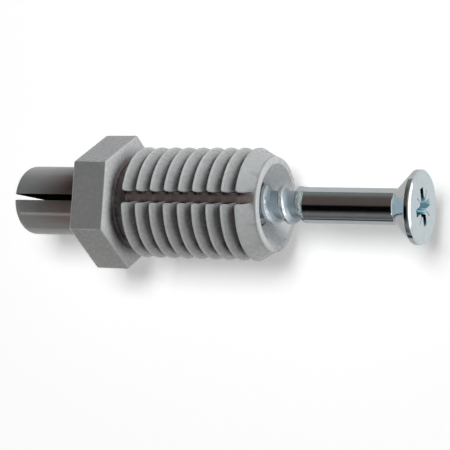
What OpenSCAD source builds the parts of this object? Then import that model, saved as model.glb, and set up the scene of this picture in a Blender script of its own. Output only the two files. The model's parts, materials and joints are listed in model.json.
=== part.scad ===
// Nylon wall plug with its countersunk screw, in millimetres.
// The axis lies along X: the split stub points to -X, and the mouth and the screw's head to +X.
// X = 0 is the collar's seat against the wall. The plug lies on a flat of its collar, with Z up.

/* [Split stub] */
// Diameter of the stub, which goes in the wall
stub_d = 10; // [9:0.1:12]
// Length of the stub from the collar to its free end
stub_len = 12.2; // [10:0.1:18]
// Radius of the rounding round the free end
stub_round = 1.5; // [0.4:0.1:1.8]
// Width of the slit that splits the stub in two
slit_w = 0.8; // [0.6:0.1:1.6]
// Length left whole between the collar and the slit
slit_root = 1.2; // [0.6:0.1:3]

/* [Hexagon collar] */
// Width across the flats, for a spanner
hex_af = 16.8; // [16.2:0.1:20]
// Thickness of the collar
collar_t = 5.4; // [3:0.1:8]

/* [Barbed barrel] */
// Diameter over the barbs
barrel_d = 15.8; // [15:0.1:16.2]
// Diameter of the neck behind the first barb
neck_d = 12; // [9:0.1:13]
// Length of the neck between the collar and the first barb
neck_len = 2.5; // [1:0.1:4]
// Number of barbs
barb_count = 8; // [4:1:12]
// Distance from one barb to the next
barb_pitch = 2.21; // [2:0.01:3]
// Narrow straight land on the crest of a barb
barb_land = 0.2; // [0.1:0.05:0.4]
// Depth of the groove between two barbs
barb_depth = 1.1; // [0.5:0.1:1.3]
// Width of the floor of that groove
barb_floor = 0.15; // [0.1:0.05:0.4]
// Width of the channels that run along the barrel, above and below
channel_w = 1.6; // [1:0.1:3]
// Depth of the channels below the floors of the grooves
channel_depth = 0.05; // [0.02:0.01:0.08]

/* [Mouth] */
// Length of the end collar, from its back face to the mouth
end_len = 2.72; // [2.2:0.02:4]
// Length of the plain lip round the mouth
lip_len = 0.45; // [0.2:0.05:0.8]
// Width of the flat ring between the lip and the funnel
lip_wall = 1; // [0.7:0.05:1.2]

/* [Screw] */
// Length overall
screw_len = 40; // [36:0.5:45]
// Diameter of the head
head_d = 10.1; // [8:0.1:10.4]
// Straight rim of the head
head_rim = 0.6; // [0.3:0.05:0.9]
// Bevel between the rim and the flat of the head
head_bevel = 0.35; // [0.1:0.05:0.6]
// Diameter of the plain shank
shank_d = 5; // [4.4:0.1:5.4]
// Diameter over the thread
thread_d = 5.7; // [5:0.1:6.2]
// Diameter of the core
core_d = 3.9; // [3:0.1:4.3]
// Length of the thread with its point
thread_len = 23.6; // [16:0.1:28]
// Advance of the thread in one turn
thread_pitch = 2.6; // [2:0.1:3.2]
// Width of the thread's crest
thread_crest = 0.5; // [0.2:0.05:0.8]
// Width of each flank of the thread
thread_flank = 0.45; // [0.2:0.05:0.6]
// Length over which the thread's height runs out to the shank's diameter
thread_runout = 4.7; // [2:0.1:6]
// Length over which the groove of the thread runs out
groove_runout = 1.3; // [0.6:0.1:2.6]
// Distance of the groove's end before the plain shank
groove_stop = 1.5; // [1:0.1:2.6]
// Length of the point
point_len = 5.5; // [3:0.1:8]
// Radius of the small flat on the point
point_r = 0.2; // [0.1:0.05:0.5]
// Distance of the head from the mouth, with the screw only started
screw_out = 21.55; // [12:0.05:30]

/* [Cross recess] */
// Distance of the end of each arm from the axis
recess_reach = 2.7; // [2:0.1:3.4]
// Width of an arm
recess_arm = 1.1; // [0.7:0.1:1.4]
// Depth of the recess
recess_depth = 2.8; // [1.6:0.1:3.2]
// Radius of the round middle of the recess
recess_core = 1.35; // [0.8:0.05:1.6]
// Turn of the recess about the axis
recess_turn = 25; // [0:1:90]
// Length of the tick mark between two arms
tick_len = 1.3; // [0.6:0.1:2]
// Width of a tick mark
tick_w = 0.22; // [0.1:0.02:0.4]
// Depth of a tick mark
tick_depth = 0.15; // [0.05:0.05:0.3]

/* [Clearances] */
// Room round the thread in the bore
bore_clear = 0.25; // [0.15:0.05:0.4]
// Room round the head where it sits in the funnel
funnel_room = 0.65; // [0.4:0.05:1]
// Gap left under the head when the screw is home
seat_gap = 0.3; // [0.2:0.05:0.6]

/* [Hidden] */
$fn = 96;

// Straight steps in the rounding of the stub's end
arc_steps = 5;
// Sides of the threaded rod, which are also its rows in one pitch
thread_sides = 16;
// Turn of the thread about the axis, in sides
thread_start = 12;
// Depth to which the threaded rod is let into the shank, and its step below the shank's surface
rod_sink = 0.4;
rod_step = 0.05;
// Overshoot of a cutting tool past the surface that it cuts
cut = 1;

// Lengths along the axis of the plug
barrel_x = collar_t + neck_len;
end_x = barrel_x + barb_count * barb_pitch;
mouth_x = end_x + end_len;

// Radii of the plug
crest_r = barrel_d / 2;
groove_r = crest_r - barb_depth;
channel_r = groove_r - channel_depth;
bore_r = thread_d / 2 + bore_clear;
funnel_r = head_d / 2 + funnel_room;
lip_r = funnel_r + lip_wall;

// Lengths along the axis of the screw, from its tip
cone_len = (head_d - shank_d) / 2;
shank_len = screw_len - thread_len - cone_len - head_rim - head_bevel;
cone_u = thread_len + shank_len;
rim_u = cone_u + cone_len;

// Places of the tip: started in the mouth, and with the head home in the funnel
tip_x = mouth_x + screw_out - screw_len;
tip_home_x = mouth_x - funnel_room + seat_gap - rim_u;

// Place where the thread's groove ends, and radius of the rod past it
groove_end = thread_len - groove_stop;
filled_r = shank_d / 2 - rod_step;

// Rows of the threaded rod
row_step = thread_pitch / thread_sides;
thread_rows = floor(thread_len / row_step);

// Places what is drawn along Z so that Z runs along the axis of the plug
module along_axis(x = 0) translate([x, 0, 0]) rotate([0, 90, 0]) children();

// Turns an outline about the axis of the plug, starting at the side, away from the slit and the channels
module turned() along_axis() rotate([0, 0, 90]) rotate_extrude() children();

// Rounded free end of the stub, as radius and place
function stub_end() = [
    for (k = [0 : arc_steps]) let (t = 90 * k / arc_steps)
        [stub_d / 2 - stub_round * (1 - sin(t)), -stub_len + stub_round * (1 - cos(t))]
];

// One barb, as radius and place: a steep back, a narrow crest and a straight slope down to the groove
function barb(z) = [
    [crest_r, z],
    [crest_r, z + barb_land],
    [groove_r, z + barb_pitch - barb_floor],
    [groove_r, z + barb_pitch]
];

module plug_outline() polygon(concat(
    [[0, -stub_len]],
    stub_end(),
    [[stub_d / 2, collar_t / 2], [neck_d / 2, collar_t / 2], [neck_d / 2, barrel_x]],
    [for (i = [0 : barb_count - 1]) each barb(barrel_x + i * barb_pitch)],
    [[crest_r, end_x], [crest_r, end_x + barb_land], [lip_r, mouth_x - lip_len], [lip_r, mouth_x], [0, mouth_x]]
));

module hex_collar() along_axis() rotate([0, 0, 30]) cylinder(d = hex_af / cos(30), h = collar_t, $fn = 6);

// Bore with the funnel at its mouth. Its blind end follows the point of the screw that is home
module bore() turned() polygon([
    [0, tip_home_x - bore_clear],
    [point_r + bore_clear, tip_home_x - bore_clear],
    [bore_r, tip_home_x + point_len],
    [bore_r, mouth_x - (funnel_r - bore_r)],
    [funnel_r, mouth_x],
    [funnel_r, mouth_x + cut],
    [0, mouth_x + cut]
]);

module slit() translate([-stub_len - cut, -slit_w / 2, -stub_d / 2 - cut])
    cube([stub_len + cut - slit_root, slit_w, stub_d + 2 * cut]);

module channels() for (side = [0, 180]) rotate([side, 0, 0])
    translate([barrel_x - neck_len / 2, -channel_w / 2, channel_r])
        cube([mouth_x - barrel_x + neck_len / 2 + cut, channel_w, crest_r - channel_r + cut]);

module plug_sleeve() color("#9b9e9f") difference() {
    union() {
        turned() plug_outline();
        hex_collar();
    }
    bore();
    slit();
    channels();
}

// Share of the thread's height at a distance s from the middle of its crest
function ridge(s) = max(0, min(1, (thread_crest / 2 + thread_flank - abs(s)) / thread_flank));

// Share that is past of a run-out of some length, at a distance u from the tip
function run_out(u, length) = max(0, min(1, 1 - (groove_end - u) / length));

// Radius of the core at a distance u from the tip, as it grows on the point
function core_r(u) = point_r + (core_d / 2 - point_r) * min(1, u / point_len);

// Radius of the groove's floor at a distance u from the tip, where the crest before it is at a distance v
function floor_r(u, v) = core_r(u) + (filled_r - core_r(u)) * run_out(v, groove_runout);

// Radius of the crest at a distance u from the tip, where the middle of the crest is at a distance v
function ridge_r(u, v) = let (r = core_r(u) + (thread_d - core_d) / 2 * min(1, u / point_len))
    r + (filled_r - r) * run_out(v, thread_runout);

// Distance from the middle of the crest on row i of side j
function from_crest(i, j) = let (k = (i - j + thread_start + thread_rows * thread_sides) % thread_sides)
    (k < thread_sides / 2 ? k : k - thread_sides) * row_step;

// Corner of the threaded rod on row i of side j. The last row is let into the shank
function rod_corner(i, j) = let (
    u = i < thread_rows ? i * row_step : thread_len + rod_sink,
    s = from_crest(i, j),
    low = floor_r(u, u - s - (s < 0 ? thread_pitch : 0)),
    r = i < thread_rows ? low + (ridge_r(u, u - s) - low) * ridge(s) : filled_r,
    a = 360 * j / thread_sides
) [r * cos(a), r * sin(a), u];

// Number of the corner on row i of side j
function rod_index(i, j) = i * thread_sides + j % thread_sides;

// Threaded rod with its point. The triangles' long edges run along the thread
module threaded_rod() polyhedron(
    points = [for (i = [0 : thread_rows]) for (j = [0 : thread_sides - 1]) rod_corner(i, j)],
    faces = concat(
        [[for (j = [0 : thread_sides - 1]) rod_index(0, j)]],
        [
            for (i = [0 : thread_rows - 1]) for (j = [0 : thread_sides - 1])
                each [
                    [rod_index(i, j), rod_index(i + 1, j + 1), rod_index(i, j + 1)],
                    [rod_index(i, j), rod_index(i + 1, j), rod_index(i + 1, j + 1)]
                ]
        ],
        [[for (j = [thread_sides - 1 : -1 : 0]) rod_index(thread_rows, j)]]
    )
);

module shank_and_head() rotate_extrude() polygon([
    [0, thread_len],
    [shank_d / 2, thread_len],
    [shank_d / 2, cone_u],
    [head_d / 2, rim_u],
    [head_d / 2, rim_u + head_rim],
    [head_d / 2 - head_bevel, screw_len],
    [0, screw_len]
]);

// Cross recess: two arms that narrow to the bottom, a round middle, and a tick mark between each two arms
module recess() translate([0, 0, screw_len]) rotate([0, 0, recess_turn]) {
    intersection() {
        translate([0, 0, -recess_depth])
            cylinder(r1 = recess_core, r2 = recess_reach, h = recess_depth);
        for (turn = [0, 90]) rotate([0, 0, turn])
            translate([-recess_reach, -recess_arm / 2, -recess_depth])
                cube([2 * recess_reach, recess_arm, recess_depth + cut]);
    }
    translate([0, 0, -recess_depth]) cylinder(r1 = recess_core / 2, r2 = recess_core, h = recess_depth);
    for (turn = [45 : 90 : 315]) rotate([0, 0, turn])
        translate([recess_core, -tick_w / 2, -tick_depth]) cube([tick_len, tick_w, tick_depth + cut]);
}

module screw() color("#c3ccd2") along_axis(tip_x) union() {
    threaded_rod();
    difference() {
        shank_and_head();
        recess();
    }
}

plug_sleeve();
screw();
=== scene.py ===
"""Wall plug with its countersunk screw: fine meshes, finishes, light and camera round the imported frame."""
import json
import math

import bmesh
import bpy
from mathutils import Matrix, Vector

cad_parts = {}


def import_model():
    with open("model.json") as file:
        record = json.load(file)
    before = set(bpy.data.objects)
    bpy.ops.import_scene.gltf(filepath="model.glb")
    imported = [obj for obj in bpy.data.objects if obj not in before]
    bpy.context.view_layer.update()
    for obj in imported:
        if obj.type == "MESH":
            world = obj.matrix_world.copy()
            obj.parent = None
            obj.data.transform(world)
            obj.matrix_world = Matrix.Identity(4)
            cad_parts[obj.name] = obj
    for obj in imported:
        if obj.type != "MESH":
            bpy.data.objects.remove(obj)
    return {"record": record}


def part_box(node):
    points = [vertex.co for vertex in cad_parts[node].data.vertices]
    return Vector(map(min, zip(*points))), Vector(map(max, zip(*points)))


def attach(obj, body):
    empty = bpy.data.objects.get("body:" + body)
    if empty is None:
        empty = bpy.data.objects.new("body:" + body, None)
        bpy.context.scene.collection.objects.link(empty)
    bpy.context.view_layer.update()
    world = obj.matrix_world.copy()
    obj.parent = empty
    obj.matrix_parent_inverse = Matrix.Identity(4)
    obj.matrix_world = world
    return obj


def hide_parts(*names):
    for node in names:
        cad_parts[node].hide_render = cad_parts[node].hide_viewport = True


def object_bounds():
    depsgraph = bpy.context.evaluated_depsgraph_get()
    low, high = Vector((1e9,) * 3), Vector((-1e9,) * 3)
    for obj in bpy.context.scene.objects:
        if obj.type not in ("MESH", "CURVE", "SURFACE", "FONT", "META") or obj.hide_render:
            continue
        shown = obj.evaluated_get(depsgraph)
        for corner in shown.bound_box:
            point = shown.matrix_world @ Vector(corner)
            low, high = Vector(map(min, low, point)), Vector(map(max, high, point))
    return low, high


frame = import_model()
cad_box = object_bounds()

# Sizes that the frame gives, in millimetres
MM = 0.001
mounts = {mount["name"]: mount for mount in frame["record"]["mounts"]}
plug_low, plug_high = (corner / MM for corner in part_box("plug_sleeve"))
screw_low, screw_high = (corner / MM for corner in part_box("screw"))
STUB_X = plug_low.x
STUB_R = mounts["stub"]["dims"]["r_mm"]
HEX_FLAT = plug_high.z
COLLAR_X = mounts["collar_stop"]["pos_m"][0] / MM
CREST_R = mounts["barrel"]["dims"]["r_mm"]
MOUTH_X = plug_high.x
TIP_X = screw_low.x
FACE_X = screw_high.x
HEAD_R = screw_high.y

# Stub and collar
STUB_ROUND = 1.5
SLIT_W = 0.9
SLIT_ROOT = 1.2
SLIT_EDGE = 0.08
SEAT_FILLET = 0.15
HEX_EDGE = 0.22
SEAT_EDGE = 0.42
HEX_CORNER = 0.3
FACE_STEP = 0.9

# Barrel
NECK_R = 6.0
NECK_FILLET = 0.4
BARREL_X = 7.9
BARB_COUNT = 8
BARB_PITCH = 2.21
BARB_LAND = 0.08
BARB_DEPTH = 1.1
BARB_FLOOR = 0.15
BARB_EDGE = 0.05
BARB_CROWN = 0.1
BARB_TOE = 0.05
CHANNEL_W = 1.6
CHANNEL_DEPTH = 0.05
CHANNEL_EDGE = 0.15
CHANNEL_TOE = 0.06
CHANNEL_CORNER = 0.4
GROOVE_R = CREST_R - BARB_DEPTH
CHANNEL_R = GROOVE_R - CHANNEL_DEPTH

# Mouth and bore
END_X = BARREL_X + BARB_COUNT * BARB_PITCH
LIP_R = 6.7
LIP_LEN = 0.45
LIP_EDGE = 0.12
LIP_ROUND = 0.25
FUNNEL_R = 5.7
BORE_R = 3.1
BORE_EDGE = 0.3
BORE_END_X = -11.35
BORE_END_R = 0.45
BORE_POINT = 5.75

# Thread and shank, with lengths from the tip
THREAD_LEN = 23.6
THREAD_PITCH = 2.6
THREAD_R = 2.85
THREAD_CREST = 0.5
THREAD_FLANK = 0.45
THREAD_ROUND = 0.1
THREAD_AT_TOP = 1.9
THREAD_RUNOUT = 4.7
GROOVE_RUNOUT = 1.3
GROOVE_END = THREAD_LEN - 1.5
CORE_R = 1.95
POINT_LEN = 5.5
POINT_R = 0.2
SHANK_R = 2.5
SHANK_BAND = 0.12
SHANK_BAND_LEN = 1.2
SHANK_BAND_END = THREAD_LEN - 0.3

# Head and recess
HEAD_RIM = 0.71
HEAD_BEVEL = 0.24
HEAD_EDGE = 0.08
CONE_FILLET = 0.5
FACE_RING = 0.5
RECESS_REACH = 2.7
RECESS_ARM = 1.1
RECESS_FOOT_ARM = 0.88
RECESS_DEPTH = 2.8
RECESS_CORE = 1.35
RECESS_TURN = 25
RECESS_EDGE = 0.06
TICK_LEN = 1.3
TICK_W = 0.22
TICK_DEPTH = 0.15
TICK_SINK = 0.2

# Fineness of the meshes: steps in an arc, points in a ring, and the overshoot of a cutter
ARC_STEPS = 8
SMALL_ROUND = 0.5
SMALL_STEPS = 4
EDGE_STEPS = 3
BEVEL_STEPS = 2
SLOT_ANGLES = [0, 1.7, 3.4, 8.6, 9.7, 10.9, 12]
SIDE_COUNTS = [9, 5, 18, 3]
CORNER_ROWS = [2.2, 1.0, 0.7]
SCREW_SIDES = 72
TURNS_BEFORE = 2
TURNS_AFTER = 3
DISC_SIDES = 24
CUT_OVER = 0.5
SLIT_OVER = 1.0
SHARP_ANGLE = 40
MERGE = 1e-4

# Nylon. A noise is its scale per millimetre and its detail, with colours or levels at shares of it
CLOUD_NOISE = (0.35, 4)
CLOUDS = [(0.3, (0.325, 0.335, 0.34)), (0.7, (0.355, 0.365, 0.37))]
SPECK_NOISE = (2.2, 1)
SPECKS = [(0.2, 0.55), (0.24, 1.0)]
GRAIN_NOISE = (6, 3)
GRAIN_BUMP = 0.05
GRAIN_HEIGHT = 0.03
ROUGH_NOISE = (1.5, 3)
NYLON_ROUGH = [(0.3, 0.22), (0.7, 0.32)]
STUB_ROUGH_SHARE = 0.4
NYLON_SPECULAR = 0.5

# Painted shade in the creases of the nylon: tints by the share of open air within reach, darker on the front
# of the barbs
CREASE_REACH = 1.7
CREASE_SAMPLES = 16
CREASE_SHADES = [(0.62, (0.2, 0.13, 0.13)), (0.7, (0.5, 0.4, 0.4)), (0.77, (1.0, 1.0, 1.0))]
FRONT_CREASE_SHADES = [
    (0.66, (0.04, 0.02, 0.02)), (0.72, (0.16, 0.1, 0.1)), (0.77, (0.4, 0.28, 0.27)), (0.86, (1.0, 1.0, 1.0)),
]
FRONT_Y = (1.0, -1.0)

# Painted light and shade on the nylon by place: highlights on the crests and the collar's edges, a lighter
# funnel, and shade in the neck, the channel, the slit and on the stub by the collar
SHADE_GAP = 0.02
CREST_LINE = 0.14
CREST_HIGHLIGHT = (1.22, 1.2, 1.18)
NECK_SHADE = (0.5, 0.39, 0.39)
CHANNEL_SHADE = (0.84, 0.67, 0.64)
FUNNEL_LIGHT = (1.12, 1.14, 1.15)
SLIT_SHADE = (0.6, 0.48, 0.45)
STUB_SHADES = [(-8.0, (1.0, 1.0, 1.0)), (-4.2, (0.93, 0.76, 0.72)), (-1.2, (0.76, 0.58, 0.55))]
STUB_SHADE_Y = (4.8, 2.6)
HEX_NORMALS = [(0, 0, 1), (0, math.sqrt(0.75), 0.5), (0, math.sqrt(0.75), -0.5), (1, 0, 0)]
HEX_EDGE_BEND = (0.985, 0.93)
HEX_EDGE_HIGHLIGHT = (1.6, 1.57, 1.55)
SEAT_EDGE_HIGHLIGHT = (1.7, 1.66, 1.62)

# Zinc
PLATE_NOISE = (0.8, 3)
PLATE = [(0.3, (0.61, 0.655, 0.68)), (0.7, (0.67, 0.705, 0.725))]
STREAK_NOISE = (5, 4)
STREAK_STRETCH = (0.12, 1.0, 1.0)
MOTTLE_NOISE = (2.4, 3)
ROLLED_END = (GROOVE_END + 0.9, GROOVE_END + 1.3)
ROOT_R = (2.5, 2.3)
# Painted shade in the roots of the thread
ROOT_SHADE = (0.66, 0.72, 0.77)
ROOT_ROUGH = 0.4
THREAD_ROUGH = [(0.35, 0.1), (0.65, 0.28)]
SHANK_ROUGH = [(0.35, 0.04), (0.7, 0.1)]
# Painted shade and painted reflection in the recess
RECESS_SHADE = (0.5, 0.68, 0.74)
THREAD_BUMP = 0.6
SHANK_BUMP = 0.01
ZINC_HEIGHT = 0.06

# Lamps. A lamp's level is the brightness of a white surface that faces it
LAMP_DISTANCE = 600
PLAIN = (1.0, 1.0, 1.0)
WARM = (1.05, 1.0, 0.96)
LAMPS = {
    "key": {"azimuth": 17, "elevation": 8, "size": (1100, 440), "level": 3.2, "colour": PLAIN},
    "left": {"azimuth": 236, "elevation": 8, "size": (520, 440), "level": 0.62, "colour": WARM},
    "rear": {"azimuth": 80, "elevation": 8, "size": (520, 440), "level": 0.1, "colour": PLAIN},
    "overhead": {"azimuth": 70, "elevation": 77, "size": (280, 280), "level": 0.68, "colour": PLAIN},
}
FLOOR_LAMP = "overhead"

# Floor, and the painted glow that reflections see in its place, by its place across the axis
FLOOR_SIZE = 4000
FLOOR_COLOUR = (0.95, 0.95, 0.95)
FLOOR_GLOW = 0.41
SHEET_WIDTH = 200
REFLECTED_SHEET_GLOW = [
    (-65, 0.24), (-55, 0.03), (-30, 0.03), (-26, 0.5), (0, 0.53), (20, 0.62), (100, 0.64),
]
SHEET_GLOW_BY_HEAD = (0.76, 0.81, 0.82)
HEAD_SHEET_X = (47, 51)

# Room round the floor: its soft light, and its colours in reflections by their angle from +Z towards +Y
ROOM_LIGHT = (0.012, 0.009, 0.0085)
ROOM_REFLECTED = [
    (-88, (0.11, 0.112, 0.115)),
    (-80, (0.13, 0.135, 0.14)),
    (-72, (0.17, 0.172, 0.175)),
    (-65, (0.195, 0.195, 0.195)),
    (-58, (0.165, 0.163, 0.16)),
    (-51, (0.1, 0.098, 0.095)),
    (-44, (0.045, 0.044, 0.043)),
    (-37, (0.003, 0.003, 0.003)),
    (-10, (0.001, 0.001, 0.001)),
    (-5, (0.026, 0.019, 0.016)),
    (2, (0.1, 0.078, 0.07)),
    (45, (0.118, 0.09, 0.083)),
    (60, (0.155, 0.15, 0.14)),
    (68, (0.2, 0.21, 0.195)),
    (85, (0.22, 0.243, 0.22)),
]
ROOM_LEFT = (0.55, 0.69, 0.77)
ROOM_LEFT_X = (-0.62, -0.8)
ROOM_RIGHT = (0.7, 0.79, 0.78)
ROOM_RIGHT_X = (-0.34, -0.22)

# Bright strips of the room in reflections. The last stands for the key lamp
STRIPS = [
    {"colour": (2.6, 2.6, 2.45), "angles": (-60, -48), "x": (-0.68, -0.46), "z": (-1, 1)},
    {"colour": (1.3, 1.3, 1.2), "angles": (-62, 50), "x": (-0.74, -0.6), "z": (-1, 1)},
    {"colour": (2.3, 2.3, 2.3), "angles": (-180, 180), "x": (0.58, 2), "z": (-1, 0.47)},
]

# Camera, fitted to the photograph's view: angles in degrees, lengths in millimetres
CAMERA_LENS = 146.77
CAMERA_TILT = 26.788
CAMERA_SPIN = 5.012
CAMERA_ROLL = 1.374
CAMERA_DISTANCE = 266.87
AIM_RIGHT = 18.048
AIM_UP = -3.423


def between(first, last, count):
    """Evenly spaced values from first to last."""
    return [first + (last - first) * k / (count - 1) for k in range(count)]


def rounded(corners):
    """Outline through corners of place, radius and rounding, where each rounding is an arc."""
    outline = []
    for i, (x, r, rounding) in enumerate(corners):
        here = Vector((x, r))
        if rounding == 0:
            outline.append(here)
            continue
        before = (Vector(corners[i - 1][:2]) - here).normalized()
        after = (Vector(corners[i + 1][:2]) - here).normalized()
        half = before.angle(after) / 2
        centre = here + (before + after).normalized() * rounding / math.sin(half)
        start = here + before * rounding / math.tan(half) - centre
        sweep = start.angle_signed(here + after * rounding / math.tan(half) - centre)
        steps = ARC_STEPS if rounding > SMALL_ROUND else SMALL_STEPS
        for k in range(steps + 1):
            outline.append(centre + Matrix.Rotation(-sweep * k / steps, 2) @ start)
    return outline


def hexagon_radius(flat, angle):
    """Distance of a hexagon's outline from its middle, with rounded corners."""
    off = abs(angle % 60 - 30)
    tangent = 30 - math.degrees(math.atan((1 - HEX_CORNER / flat) * math.tan(math.radians(30))))
    if off > tangent:
        return flat / math.cos(math.radians(30 - off))
    centre = (flat - HEX_CORNER) / math.cos(math.radians(30))
    reach = centre * math.sin(math.radians(off))
    return centre * math.cos(math.radians(off)) + math.sqrt(HEX_CORNER ** 2 - reach ** 2)


def side_angles(start):
    """Angles from a slot's edge to the side of the plug, closer together at the corners of the hexagon."""
    near = math.degrees(HEX_CORNER / HEX_FLAT) / 2
    stops = [start, 30 - near, 30 + near, 90 - near, 90]
    angles = [start]
    for first, last, count in zip(stops, stops[1:], SIDE_COUNTS):
        angles += between(first, last, count)[1:]
    return angles


def ring_angles():
    """Angles of a ring without a channel, from the top to the side."""
    return SLOT_ANGLES[:-1] + side_angles(SLOT_ANGLES[-1])


def on_ring(r, angle):
    """Place across the axis at a distance from it and an angle from the top."""
    return (r * math.sin(math.radians(angle)), r * math.cos(math.radians(angle)))


def round_quarter(r):
    """Quarter of a plain ring, from the top to the side."""
    return [on_ring(r, angle) for angle in ring_angles()]


def hexagon_quarter(flat):
    """Quarter of a hexagon's ring, from the top to the side."""
    return [on_ring(hexagon_radius(flat, angle), angle) for angle in ring_angles()]


def channel_half(x):
    """Half the channel's width, which grows round the corners at the back of each barb."""
    barb = min(int((x - BARREL_X) / BARB_PITCH + MERGE), BARB_COUNT)
    to_side = max(0, CHANNEL_CORNER - (x - BARREL_X - barb * BARB_PITCH))
    return CHANNEL_W / 2 + CHANNEL_CORNER - math.sqrt(CHANNEL_CORNER ** 2 - min(to_side, CHANNEL_CORNER) ** 2)


def channel_quarter(r, half):
    """Quarter of a ring of the barrel, from the middle of the channel to the side."""
    room = math.sqrt(r ** 2 - (half + CHANNEL_EDGE) ** 2) - CHANNEL_R
    if room <= 0:
        return [(y, min(z, CHANNEL_R)) for y, z in round_quarter(r)]
    edge = min(CHANNEL_EDGE, room / 2)
    toe = min(CHANNEL_TOE, room / 3)
    quarter = [(0, CHANNEL_R), (half - toe, CHANNEL_R), (half, CHANNEL_R + toe)]
    for k in range(EDGE_STEPS):
        turn = math.radians(90 * k / EDGE_STEPS)
        y = half + edge * (1 - math.cos(turn))
        quarter.append((y, math.sqrt(r ** 2 - y ** 2) - edge * (1 - math.sin(turn))))
    start = math.degrees(math.asin((half + edge) / r))
    return quarter + [on_ring(r, angle) for angle in side_angles(start)]


def whole_ring(quarter):
    """Closed ring from the quarter of it that runs from the top to the side."""
    side = quarter + [(y, -z) for y, z in reversed(quarter[:-1])]
    return side + [(-y, z) for y, z in reversed(side[1:-1])]


def mouth_outline():
    """From the blind end of the bore, out through the funnel, to the lip round the mouth."""
    return rounded([
        (BORE_END_X, 0, 0),
        (BORE_END_X, BORE_END_R, 0),
        (BORE_END_X + BORE_POINT, BORE_R, 0),
        (MOUTH_X - (FUNNEL_R - BORE_R), BORE_R, BORE_EDGE),
        (MOUTH_X, FUNNEL_R, LIP_EDGE),
        (MOUTH_X, LIP_R, LIP_ROUND),
        (MOUTH_X - LIP_LEN, LIP_R, 0),
    ])


def barrel_outline():
    """From the lip, over the end collar and the barbs, to the back of the first barb."""
    corners = [(MOUTH_X - LIP_LEN, LIP_R, 0)]
    for i in reversed(range(BARB_COUNT + 1)):
        x = BARREL_X + i * BARB_PITCH
        foot = (x + BARB_PITCH - BARB_FLOOR, GROOVE_R) if i < BARB_COUNT else corners[0][:2]
        slope = (CREST_R - foot[1]) / (foot[0] - x - BARB_LAND)
        if i < BARB_COUNT:
            corners.append((*foot, 0))
        for share in CORNER_ROWS:
            from_back = share * CHANNEL_CORNER
            corners.append((x + from_back, CREST_R - slope * (from_back - BARB_LAND), 0))
        corners.append((x + BARB_LAND, CREST_R, BARB_CROWN))
        corners.append((x, CREST_R, BARB_EDGE))
        corners.append((x, GROOVE_R, BARB_TOE if i else 0))
    return rounded(corners)


def neck_outline():
    """From the back of the first barb, along the neck, to the collar's front face."""
    return rounded([
        (BARREL_X, NECK_R, 0),
        (COLLAR_X, NECK_R, NECK_FILLET),
        (COLLAR_X, HEX_FLAT - 2 * FACE_STEP, 0),
    ])


def collar_outline():
    """Flats of the hexagon and its two faces, by the distance of the flats from the axis."""
    return rounded([
        (COLLAR_X, HEX_FLAT - FACE_STEP, 0),
        (COLLAR_X, HEX_FLAT, HEX_EDGE),
        (0, HEX_FLAT, SEAT_EDGE),
        (0, HEX_FLAT - FACE_STEP, 0),
    ])


def stub_outline():
    """From the collar's seat, along the stub, to the middle of its free end."""
    return rounded([
        (0, HEX_FLAT - 2 * FACE_STEP, 0),
        (0, STUB_R, SEAT_FILLET),
        (STUB_X, STUB_R, STUB_ROUND),
        (STUB_X, 0, 0),
    ])


def finished_mesh(name, points, faces):
    """Mesh object in metres from points in millimetres, with doubled points merged and its faces outwards."""
    mesh = bpy.data.meshes.new(name)
    mesh.from_pydata([Vector(point) * MM for point in points], [], faces)
    work = bmesh.new()
    work.from_mesh(mesh)
    bmesh.ops.remove_doubles(work, verts=work.verts, dist=MERGE * MM)
    bmesh.ops.dissolve_degenerate(work, edges=work.edges, dist=MERGE * MM)
    bmesh.ops.recalc_face_normals(work, faces=work.faces)
    work.to_mesh(mesh)
    work.free()
    piece = bpy.data.objects.new(name, mesh)
    bpy.context.scene.collection.objects.link(piece)
    return piece


def cut_away(piece, cutter):
    """Takes the cutter's shape out of a piece, and deletes the cutter."""
    boolean = piece.modifiers.new("cut", "BOOLEAN")
    boolean.object = cutter
    boolean.solver = "EXACT"
    boolean.use_self = True
    graph = bpy.context.evaluated_depsgraph_get()
    piece.data = bpy.data.meshes.new_from_object(piece.evaluated_get(graph))
    piece.modifiers.clear()
    bpy.data.objects.remove(cutter)


def bevel_edges(piece, chosen, width):
    """Small bevel on the sharp edges of a piece whose two ends are both chosen."""
    work = bmesh.new()
    work.from_mesh(piece.data)
    edges = [
        edge for edge in work.edges
        if len(edge.link_faces) == 2
        and edge.calc_face_angle() > math.radians(SHARP_ANGLE)
        and all(chosen(vert.co / MM) for vert in edge.verts)
    ]
    bmesh.ops.bevel(
        work, geom=edges, offset=width * MM, segments=BEVEL_STEPS, profile=0.5, affect="EDGES",
        clamp_overlap=True,
    )
    work.to_mesh(piece.data)
    work.free()


def shade_smooth(piece):
    """Smooth shading that keeps flat faces flat and true corners crisp."""
    piece.data.shade_smooth()
    piece.data.set_sharp_from_angle(angle=math.radians(SHARP_ANGLE))
    weighted = piece.modifiers.new("weighted_normals", "WEIGHTED_NORMAL")
    weighted.keep_sharp = True


def box_mesh(name, low, high):
    """Box between two corners."""
    points = [(x, y, z) for x in (low[0], high[0]) for y in (low[1], high[1]) for z in (low[2], high[2])]
    faces = [(0, 1, 3, 2), (4, 6, 7, 5), (0, 4, 5, 1), (2, 3, 7, 6), (0, 2, 6, 4), (1, 5, 7, 3)]
    return finished_mesh(name, points, faces)


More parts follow.
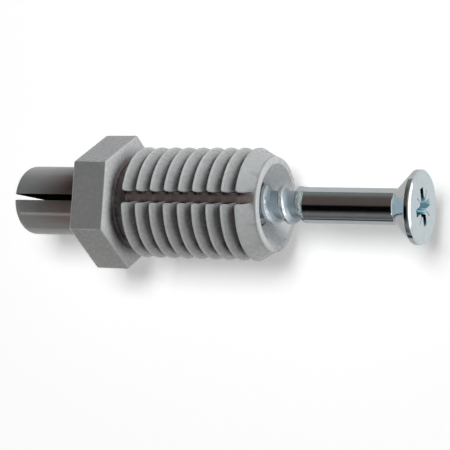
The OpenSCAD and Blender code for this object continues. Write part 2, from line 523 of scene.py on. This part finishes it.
def plug_sleeve():
    """The moulded plug: rings from the bore round the mouth and along the outside to the end of the stub."""
    rows = [(x, round_quarter(r)) for x, r in mouth_outline()]
    rows += [(x, channel_quarter(r, channel_half(x))) for x, r in barrel_outline()]
    rows += [(x, round_quarter(r)) for x, r in neck_outline()]
    rows += [(x, hexagon_quarter(flat)) for x, flat in collar_outline()]
    rows += [(x, round_quarter(r)) for x, r in stub_outline()]
    points = [(x, y, z) for x, quarter in rows for y, z in whole_ring(quarter)]
    count = len(points) // len(rows)
    faces = [
        (i * count + j, i * count + (j + 1) % count, (i + 1) * count + (j + 1) % count, (i + 1) * count + j)
        for i in range(len(rows) - 1) for j in range(count)
    ]
    piece = finished_mesh("nylon_plug", points, faces)
    half, reach = SLIT_W / 2, 2 * STUB_R
    cut_away(piece, box_mesh("slit", (STUB_X - SLIT_OVER, -half, -reach), (-SLIT_ROOT, half, reach)))
    bevel_edges(piece, lambda at: abs(abs(at.y) - half) < MERGE and at.x < -SLIT_ROOT / 2, SLIT_EDGE)
    shade_smooth(piece)
    return piece


def thread_profile():
    """Distance from the middle of the crest and share of the thread's height, through one pitch."""
    foot = THREAD_CREST / 2 + THREAD_FLANK
    outline = rounded([
        (-THREAD_PITCH / 2, CORE_R, 0),
        (-foot, CORE_R, THREAD_ROUND),
        (-THREAD_CREST / 2, THREAD_R, THREAD_ROUND),
        (THREAD_CREST / 2, THREAD_R, THREAD_ROUND),
        (foot, CORE_R, THREAD_ROUND),
        (THREAD_PITCH / 2, CORE_R, 0),
    ])
    return [(s, (r - CORE_R) / (THREAD_R - CORE_R)) for s, r in outline[:-1]]


def run_out(u, length):
    """Share that is past of a run-out of some length, at a distance u from the tip."""
    return min(1, max(0, 1 - (GROOVE_END - u) / length))


def thread_radius(u, s, share):
    """Radius at a distance u from the tip and s from the crest: grown on the point, run out at the shank."""
    if u >= THREAD_LEN:
        return SHANK_R
    grown = min(1, u / POINT_LEN)
    shank = SHANK_R + SHANK_BAND * min(1, max(0, (SHANK_BAND_END - u) / SHANK_BAND_LEN))
    root = POINT_R + (CORE_R - POINT_R) * grown
    crest = root + (THREAD_R - CORE_R) * grown
    crest += (shank - crest) * run_out(u - s, THREAD_RUNOUT)
    root += (shank - root) * run_out(u - s if s >= 0 else u - s - THREAD_PITCH, GROOVE_RUNOUT)
    return root + (crest - root) * share


def on_screw(x, r, side):
    """Point of the screw on one of its sides, at a place along the axis and a distance from it."""
    angle = math.tau * side / SCREW_SIDES
    return (x, -r * math.sin(angle), r * math.cos(angle))


def thread_grid():
    """Points and faces of the threaded length, with rows that run along the thread."""
    profile = thread_profile()
    points = []
    for turn in range(-TURNS_BEFORE, math.ceil(THREAD_LEN / THREAD_PITCH) + TURNS_AFTER):
        for s, share in profile:
            for side in range(SCREW_SIDES):
                u = THREAD_AT_TOP + s + THREAD_PITCH * (turn + side / SCREW_SIDES)
                u = min(max(u, 0), THREAD_LEN)
                points.append(on_screw(TIP_X + u, thread_radius(u, s, share), side))
    faces = []
    for i in range(len(points) // SCREW_SIDES - 1 - len(profile)):
        for side in range(SCREW_SIDES):
            here = i * SCREW_SIDES + side
            after = here + 1 if side + 1 < SCREW_SIDES else (i + len(profile)) * SCREW_SIDES
            faces.append((here, after, after + SCREW_SIDES, here + SCREW_SIDES))
    return points, faces


def head_outline():
    """From the start of the shank to the flat ring round the recess."""
    rim_x = FACE_X - HEAD_BEVEL - HEAD_RIM
    return rounded([
        (TIP_X + THREAD_LEN, SHANK_R, 0),
        (rim_x - (HEAD_R - SHANK_R), SHANK_R, CONE_FILLET),
        (rim_x, HEAD_R, HEAD_EDGE),
        (rim_x + HEAD_RIM, HEAD_R, HEAD_EDGE),
        (FACE_X, HEAD_R - HEAD_BEVEL, HEAD_EDGE),
        (FACE_X, RECESS_REACH + FACE_RING, 0),
    ])


def bar(first, last, width):
    """Corners of a bar, as places along and across it."""
    return [(first, -width / 2), (last, -width / 2), (last, width / 2), (first, width / 2)]


def disc(r):
    return [on_ring(r, 360 * k / DISC_SIDES) for k in range(DISC_SIDES)]


def turned(x, corners, turn):
    """Corners in a plane across the axis, turned about it by some degrees."""
    c, s = math.cos(math.radians(turn)), math.sin(math.radians(turn))
    return [(x, c * a - s * b, s * a + c * b) for a, b in corners]


def add_loft(points, faces, low, high):
    """Adds a closed solid between two outlines of as many points."""
    first, count = len(points), len(low)
    points.extend(low + high)
    faces.append(tuple(range(first, first + count)))
    faces.append(tuple(range(first + count, first + 2 * count)))
    for k in range(count):
        after = (k + 1) % count
        faces.append((first + k, first + after, first + count + after, first + count + k))


def recess_cutter():
    """Tapered cross with a round middle, and a tick mark between each two arms."""
    points, faces = [], []
    foot_x, top_x = FACE_X - RECESS_DEPTH, FACE_X + CUT_OVER
    top_reach = RECESS_REACH + CUT_OVER * (RECESS_REACH - RECESS_CORE) / RECESS_DEPTH
    top_core = RECESS_CORE * (1 + CUT_OVER / RECESS_DEPTH / 2)
    foot, top = bar(-RECESS_CORE, RECESS_CORE, RECESS_FOOT_ARM), bar(-top_reach, top_reach, RECESS_ARM)
    tick = bar(RECESS_CORE - TICK_SINK, RECESS_CORE + TICK_LEN, TICK_W)
    for turn in (RECESS_TURN, RECESS_TURN + 90):
        add_loft(points, faces, turned(foot_x, foot, turn), turned(top_x, top, turn))
    add_loft(points, faces, turned(foot_x, disc(RECESS_CORE / 2), 0), turned(top_x, disc(top_core), 0))
    for turn in range(RECESS_TURN + 45, RECESS_TURN + 360, 90):
        add_loft(points, faces, turned(FACE_X - TICK_DEPTH, tick, turn), turned(top_x, tick, turn))
    return finished_mesh("recess", points, faces)


def screw():
    """The screw: a grid along the thread, then rings along the shank and the head, and the recess cut in."""
    points, faces = thread_grid()
    first = len(points)
    outline = head_outline()
    points += [on_screw(x, r, side) for x, r in outline for side in range(SCREW_SIDES)]
    for start in range(first, len(points) - SCREW_SIDES, SCREW_SIDES):
        for side in range(SCREW_SIDES):
            here, after = start + side, start + (side + 1) % SCREW_SIDES
            faces.append((here, after, after + SCREW_SIDES, here + SCREW_SIDES))
    faces.append(tuple(range(len(points) - SCREW_SIDES, len(points))))
    faces.append(tuple(range(SCREW_SIDES)))
    piece = finished_mesh("zinc_screw", points, faces)
    cut_away(piece, recess_cutter())
    reach = RECESS_REACH + FACE_RING / 2
    bevel_edges(piece, lambda at: abs(at.x - FACE_X) < MERGE and at.yz.length < reach, RECESS_EDGE)
    shade_smooth(piece)
    return piece


def new_material(name):
    """Material with no nodes yet, and its node tree."""
    material = bpy.data.materials.new(name)
    material.use_nodes = True
    tree = material.node_tree
    tree.nodes.clear()
    return material, tree


def add_node(tree, kind, inputs=(), **properties):
    """Adds a node with its properties. An input that is given a socket is linked, and any other is set."""
    node = tree.nodes.new(kind)
    for name, value in properties.items():
        setattr(node, name, value)
    for name, value in dict(inputs).items():
        if isinstance(value, bpy.types.NodeSocket):
            tree.links.new(value, node.inputs[name])
        else:
            node.inputs[name].default_value = value
    return node


def maths(tree, operation, first, second):
    return add_node(tree, "ShaderNodeMath", {0: first, 1: second}, operation=operation).outputs[0]


def vector_maths(tree, operation, *inputs):
    """Outputs of a node that works on vectors."""
    return add_node(tree, "ShaderNodeVectorMath", dict(enumerate(inputs)), operation=operation).outputs


def split(tree, vector):
    """Outputs with the three parts of a vector."""
    return add_node(tree, "ShaderNodeSeparateXYZ", {0: vector}).outputs


def millimetres(tree):
    """Place on the object in millimetres."""
    place = add_node(tree, "ShaderNodeTexCoord").outputs["Object"]
    return vector_maths(tree, "MULTIPLY", place, (1 / MM, 1 / MM, 1 / MM))["Vector"]


def noise(tree, place, scale, detail):
    inputs = {"Vector": place, "Scale": scale, "Detail": detail}
    return add_node(tree, "ShaderNodeTexNoise", inputs).outputs["Fac"]


def map_range(tree, value, first, last, curve="SMOOTHSTEP"):
    """Level from 0 to 1 as a value grows from first to last."""
    inputs = {"Value": value, "From Min": first, "From Max": last}
    return add_node(tree, "ShaderNodeMapRange", inputs, interpolation_type=curve).outputs["Result"]


def falling(tree, value, first, last):
    """Level from 0 to 1 as a value falls from first to last."""
    return map_range(tree, maths(tree, "MULTIPLY", value, -1.0), -first, -last)


def above(tree, value, limit):
    return maths(tree, "GREATER_THAN", value, limit)


def below(tree, value, limit):
    return maths(tree, "LESS_THAN", value, limit)


def all_of(tree, *shares):
    """1 where all of the shares are 1."""
    whole = shares[0]
    for share in shares[1:]:
        whole = maths(tree, "MULTIPLY", whole, share)
    return whole


def inside_range(tree, value, first, last):
    """1 while a value is between first and last, else 0."""
    return all_of(tree, above(tree, value, first), below(tree, value, last))


def opposite(tree, share):
    """0 where a share is 1, and 1 where it is 0."""
    return maths(tree, "SUBTRACT", 1.0, share)


def solid(colour):
    """Colour with nothing see-through."""
    return (*colour, 1)


def grey(level):
    return (level, level, level)


def ramp(tree, value, stops):
    """Colours at places of a value from 0 to 1."""
    node = add_node(tree, "ShaderNodeValToRGB", {"Fac": value})
    elements = node.color_ramp.elements
    while len(elements) < len(stops):
        elements.new(0.5)
    for element, (place, colour) in zip(elements, stops):
        element.position = place
        element.color = solid(colour)
    return node.outputs["Color"]


def levels(tree, value, stops):
    """Levels at places of a value from 0 to 1."""
    return ramp(tree, value, [(place, grey(level)) for place, level in stops])


def mixed(tree, share, first, second, blend="MIX"):
    """First colour mixed with a share of the second. The node's sockets 6, 7 and 2 are those for colours."""
    inputs = {0: share, 6: first, 7: second}
    return add_node(tree, "ShaderNodeMix", inputs, data_type="RGBA", blend_type=blend).outputs[2]


def tinted(tree, colour, tint, share=1.0):
    """Colour multiplied by a tint, over a share of the surface."""
    return mixed(tree, share, colour, tint, "MULTIPLY")


def round_place(tree, place):
    """Place along the axis, distance from the slit's plane, and distance from the axis."""
    parts = split(tree, place)
    across = vector_maths(tree, "MULTIPLY", place, (0, 1, 1))["Vector"]
    r = vector_maths(tree, "LENGTH", across)["Value"]
    return parts["X"], maths(tree, "ABSOLUTE", parts["Y"], 0.0), r


def hex_edges(tree):
    """1 on an edge of the collar that looks away from the mouth: it faces along no flat and no face."""
    normal = add_node(tree, "ShaderNodeTexCoord").outputs["Normal"]
    straight = 0.0
    for line in HEX_NORMALS:
        along = vector_maths(tree, "DOT_PRODUCT", normal, line)["Value"]
        straight = maths(tree, "MAXIMUM", straight, maths(tree, "ABSOLUTE", along, 0.0))
    to_mouth = split(tree, normal)["X"]
    return all_of(tree, falling(tree, straight, *HEX_EDGE_BEND), below(tree, to_mouth, 1 - HEX_EDGE_BEND[1]))


def crease_shade(tree, place):
    """Painted shade: dark warm lines in the creases, which are wider and darker on the front of the barbs."""
    open_share = add_node(
        tree, "ShaderNodeAmbientOcclusion", {"Distance": CREASE_REACH * MM},
        samples=CREASE_SAMPLES, only_local=True,
    ).outputs["AO"]
    parts = split(tree, place)
    in_front = falling(tree, parts["Y"], *FRONT_Y)
    on_barbs = inside_range(tree, parts["X"], BARREL_X, END_X)
    return mixed(
        tree, all_of(tree, in_front, on_barbs),
        ramp(tree, open_share, CREASE_SHADES), ramp(tree, open_share, FRONT_CREASE_SHADES),
    )


def barrel_light_and_shade(tree, x, off, r):
    """Pairs of tint and share on the barrel: painted highlights on the crests, painted light in the funnel,
    painted shade in the neck and channel.
    """
    below_barbs = below(tree, r, GROOVE_R - MERGE)
    on_crests = all_of(
        tree, above(tree, r, CREST_R - CREST_LINE), inside_range(tree, x, BARREL_X - MERGE, END_X + MERGE)
    )
    on_neck = all_of(tree, below_barbs, inside_range(tree, x, COLLAR_X + SHADE_GAP, BARREL_X))
    in_channel = all_of(
        tree, below_barbs, above(tree, r, FUNNEL_R), below(tree, off, CHANNEL_W / 2 + MERGE),
        inside_range(tree, x, BARREL_X, MOUTH_X - LIP_LEN),
    )
    in_funnel = all_of(tree, below(tree, r, FUNNEL_R - LIP_EDGE), above(tree, x, END_X))
    return [
        (solid(CREST_HIGHLIGHT), on_crests),
        (solid(NECK_SHADE), on_neck),
        (solid(CHANNEL_SHADE), in_channel),
        (solid(FUNNEL_LIGHT), in_funnel),
    ]


def collar_highlights(tree, x, r):
    """Pairs of tint and share on the collar: painted highlights on its edges, the lightest round the seat."""
    outside = above(tree, r, HEX_FLAT - 2 * HEX_CORNER)
    on_edges = all_of(tree, hex_edges(tree), outside, inside_range(tree, x, -MERGE, COLLAR_X))
    by_seat = all_of(tree, on_edges, below(tree, x, SEAT_EDGE))
    return [(solid(HEX_EDGE_HIGHLIGHT), on_edges), (solid(SEAT_EDGE_HIGHLIGHT), by_seat)]


def stub_shade(tree, x, off):
    """Painted shade on the stub, which grows darker towards the collar, and its share, which is less at the
    sides.
    """
    along = map_range(tree, x, STUB_X, 0, "LINEAR")
    tint = ramp(tree, along, [(1 - at / STUB_X, colour) for at, colour in STUB_SHADES])
    return tint, falling(tree, off, *STUB_SHADE_Y)


def nylon():
    """Moulded grey nylon: faint clouds, grain and specks and a shinier stub, with painted shade in the
    creases, neck, channel and slit and on the stub by the collar, painted highlights on the crests and collar
    edges, and painted light in the funnel.
    """
    material, tree = new_material("nylon")
    place = millimetres(tree)
    x, off, r = round_place(tree, place)
    on_stub = below(tree, x, -SHADE_GAP)
    in_slit = all_of(tree, on_stub, below(tree, off, SLIT_W / 2 + MERGE))
    colour = ramp(tree, noise(tree, place, *CLOUD_NOISE), CLOUDS)
    colour = tinted(tree, colour, levels(tree, noise(tree, place, *SPECK_NOISE), SPECKS))
    colour = tinted(tree, colour, crease_shade(tree, place))
    for tint, share in barrel_light_and_shade(tree, x, off, r) + collar_highlights(tree, x, r):
        colour = tinted(tree, colour, tint, share)
    by_collar, facing = stub_shade(tree, x, off)
    colour = tinted(tree, colour, by_collar, all_of(tree, on_stub, facing))
    # Painted shade on the walls of the slit
    colour = tinted(tree, colour, solid(SLIT_SHADE), in_slit)
    rough = levels(tree, noise(tree, place, *ROUGH_NOISE), NYLON_ROUGH)
    rough = tinted(tree, rough, solid(grey(STUB_ROUGH_SHARE)), on_stub)
    bump = add_node(
        tree, "ShaderNodeBump",
        {"Height": noise(tree, place, *GRAIN_NOISE), "Strength": GRAIN_BUMP, "Distance": GRAIN_HEIGHT * MM},
    )
    specular = maths(tree, "MULTIPLY", opposite(tree, in_slit), NYLON_SPECULAR)
    shader = add_node(
        tree, "ShaderNodeBsdfPrincipled",
        {
            "Base Color": colour, "Roughness": rough, "Normal": bump.outputs["Normal"],
            "Specular IOR Level": specular,
        },
    )
    add_node(tree, "ShaderNodeOutputMaterial", {"Surface": shader.outputs[0]})
    return material


def zinc_places(tree, place):
    """Shares of the polished shank and head, of the roots of the thread, and of the recess."""
    x, _, r = round_place(tree, place)
    polished = map_range(tree, x, *(TIP_X + u for u in ROLLED_END))
    in_root = falling(tree, r, *ROOT_R)
    in_recess = all_of(
        tree, below(tree, r, RECESS_REACH + SHADE_GAP),
        inside_range(tree, x, FACE_X - RECESS_DEPTH - SHADE_GAP, FACE_X - TICK_DEPTH - SHADE_GAP),
    )
    return polished, in_root, in_recess


def zinc():
    """Bright zinc plate: a bluish metal, polished with streaks on the shank and uneven on the thread, with
    painted shade in the thread's roots and a teal painted shade in the recess.
    """
    material, tree = new_material("zinc")
    place = millimetres(tree)
    polished, in_root, in_recess = zinc_places(tree, place)
    streaks = noise(tree, vector_maths(tree, "MULTIPLY", place, STREAK_STRETCH)["Vector"], *STREAK_NOISE)
    mottle = noise(tree, place, *MOTTLE_NOISE)
    colour = ramp(tree, noise(tree, place, *PLATE_NOISE), PLATE)
    # Painted shade and painted reflection in the recess: darker and teal
    colour = tinted(tree, colour, solid(RECESS_SHADE), in_recess)
    # Painted shade in the roots of the thread: darker and bluer
    colour = tinted(tree, colour, solid(ROOT_SHADE), all_of(tree, in_root, opposite(tree, polished)))
    rolled = mixed(tree, in_root, levels(tree, mottle, THREAD_ROUGH), solid(grey(ROOT_ROUGH)))
    rough = mixed(tree, polished, rolled, levels(tree, streaks, SHANK_ROUGH))
    less = maths(tree, "MULTIPLY", polished, THREAD_BUMP - SHANK_BUMP)
    bump = add_node(
        tree, "ShaderNodeBump",
        {
            "Height": mixed(tree, polished, mottle, streaks), "Distance": ZINC_HEIGHT * MM,
            "Strength": maths(tree, "SUBTRACT", THREAD_BUMP, less),
        },
    )
    shader = add_node(
        tree, "ShaderNodeBsdfPrincipled",
        {"Base Color": colour, "Roughness": rough, "Normal": bump.outputs["Normal"], "Metallic": 1.0},
    )
    add_node(tree, "ShaderNodeOutputMaterial", {"Surface": shader.outputs[0]})
    return material


def finish_piece(piece, material, body, node):
    """Gives a piece its finish and its body, and hides the node of the model that it stands for."""
    piece.data.materials.clear()
    piece.data.materials.append(material)
    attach(piece, body)
    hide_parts(node)


def floor_finish():
    """White with shadows to the camera; reflections see a painted glow instead: a sheet of uneven brightness.
    """
    material, tree = new_material("floor")
    path = add_node(tree, "ShaderNodeLightPath").outputs
    glow = add_node(
        tree, "ShaderNodeEmission", {"Strength": maths(tree, "MULTIPLY", path["Is Camera Ray"], FLOOR_GLOW)}
    )
    diffuse = add_node(tree, "ShaderNodeBsdfDiffuse", {"Color": solid(FLOOR_COLOUR)})
    seen = add_node(tree, "ShaderNodeAddShader", {0: glow.outputs[0], 1: diffuse.outputs[0]})
    place = split(tree, millimetres(tree))
    across = map_range(tree, place["Y"], -SHEET_WIDTH / 2, SHEET_WIDTH / 2, "LINEAR")
    sheet = levels(tree, across, [(y / SHEET_WIDTH + 0.5, level) for y, level in REFLECTED_SHEET_GLOW])
    by_head = map_range(tree, place["X"], *HEAD_SHEET_X)
    reflected = add_node(
        tree, "ShaderNodeEmission", {"Color": mixed(tree, by_head, sheet, solid(SHEET_GLOW_BY_HEAD))}
    )
    whole = add_node(
        tree, "ShaderNodeMixShader", {0: path["Is Glossy Ray"], 1: seen.outputs[0], 2: reflected.outputs[0]}
    )
    add_node(tree, "ShaderNodeOutputMaterial", {"Surface": whole.outputs[0]})
    return material


def floor():
    """Wide floor under the plug."""
    half = FLOOR_SIZE / 2
    z = plug_low.z
    points = [(-half, -half, z), (half, -half, z), (half, half, z), (-half, half, z)]
    piece = finished_mesh("floor", points, [(0, 1, 2, 3)])
    piece.data.materials.append(floor_finish())
    return piece


def keep_light_on(holder, objects):
    """Lets a lamp light only the given objects. Their shadows stay."""
    group = bpy.data.collections.new(holder.name)
    for lit in objects:
        group.objects.link(lit)
    holder.light_linking.receiver_collection = group


def lamps(pieces, ground):
    """Wide low lamps round the plug, and one over the floor, which reflections don't show."""
    middle = (cad_box[0] + cad_box[1]) / 2
    for name, lamp in LAMPS.items():
        light = bpy.data.lights.new(name, "AREA")
        light.shape = "RECTANGLE"
        light.size, light.size_y = (side * MM for side in lamp["size"])
        light.color = lamp["colour"]
        light.energy = lamp["level"] * (math.pi * LAMP_DISTANCE * MM) ** 2
        azimuth, elevation = math.radians(lamp["azimuth"]), math.radians(lamp["elevation"])
        flat = math.cos(elevation)
        towards = Vector((math.cos(azimuth) * flat, math.sin(azimuth) * flat, math.sin(elevation)))
        holder = bpy.data.objects.new(name, light)
        holder.location = middle + towards * LAMP_DISTANCE * MM
        holder.rotation_mode = "QUATERNION"
        holder.rotation_quaternion = towards.to_track_quat("Z", "Y")
        holder.visible_glossy = False
        bpy.context.scene.collection.objects.link(holder)
        keep_light_on(holder, [ground] if name == FLOOR_LAMP else pieces)


def room_reflected(tree):
    """Colours of the room in reflections: its bright and dark sides, its two ends and its strips."""
    direction = split(tree, add_node(tree, "ShaderNodeTexCoord").outputs["Generated"])
    angle = maths(tree, "ARCTAN2", direction["Y"], direction["Z"])
    walls = ramp(
        tree, map_range(tree, angle, -math.pi / 2, math.pi / 2, "LINEAR"),
        [(degrees / 180 + 0.5, colour) for degrees, colour in ROOM_REFLECTED],
    )
    walls = mixed(tree, falling(tree, direction["X"], *ROOM_LEFT_X), walls, solid(ROOM_LEFT))
    walls = mixed(tree, map_range(tree, direction["X"], *ROOM_RIGHT_X), walls, solid(ROOM_RIGHT))
    for strip in STRIPS:
        share = all_of(
            tree, inside_range(tree, angle, *(math.radians(end) for end in strip["angles"])),
            inside_range(tree, direction["X"], *strip["x"]), inside_range(tree, direction["Z"], *strip["z"]),
        )
        walls = mixed(tree, share, walls, solid(strip["colour"]))
    return walls


def world():
    """White to the camera, a dim room for the light, and the room's sides in reflections."""
    scene_world = bpy.data.worlds.new("studio")
    bpy.context.scene.world = scene_world
    scene_world.use_nodes = True
    tree = scene_world.node_tree
    tree.nodes.clear()
    path = add_node(tree, "ShaderNodeLightPath").outputs
    light = add_node(tree, "ShaderNodeBackground", {"Color": solid(ROOM_LIGHT)})
    reflected = add_node(tree, "ShaderNodeBackground", {"Color": room_reflected(tree)})
    white = add_node(tree, "ShaderNodeBackground", {"Color": solid(PLAIN)})
    inside = add_node(
        tree, "ShaderNodeMixShader", {0: path["Is Glossy Ray"], 1: light.outputs[0], 2: reflected.outputs[0]}
    )
    whole = add_node(
        tree, "ShaderNodeMixShader", {0: path["Is Camera Ray"], 1: inside.outputs[0], 2: white.outputs[0]}
    )
    add_node(tree, "ShaderNodeOutputWorld", {"Surface": whole.outputs[0]})


def camera():
    """Camera over the front of the plug, tilted towards the screw's head."""
    tilt, spin = math.radians(CAMERA_TILT), math.radians(CAMERA_SPIN)
    back = Vector((math.sin(tilt), -math.cos(tilt) * math.sin(spin), math.cos(tilt) * math.cos(spin)))
    level = (Vector((1, 0, 0)) - back * back.x).normalized()
    turn = Matrix.Rotation(math.radians(CAMERA_ROLL), 3, back)
    right, up = turn @ level, turn @ back.cross(level)
    place = right * AIM_RIGHT + up * AIM_UP + back * CAMERA_DISTANCE
    lens = bpy.data.cameras.new("camera")
    lens.lens = CAMERA_LENS
    holder = bpy.data.objects.new("camera", lens)
    holder.matrix_world = Matrix((right, up, back)).transposed().to_4x4()
    holder.location = place * MM
    bpy.context.scene.collection.objects.link(holder)
    bpy.context.scene.camera = holder


plug, driven_screw = plug_sleeve(), screw()
finish_piece(plug, nylon(), "sleeve", "plug_sleeve")
finish_piece(driven_screw, zinc(), "screw", "screw")
lamps([plug, driven_screw], floor())
world()
camera()
bpy.context.scene.view_settings.view_transform = "Standard"
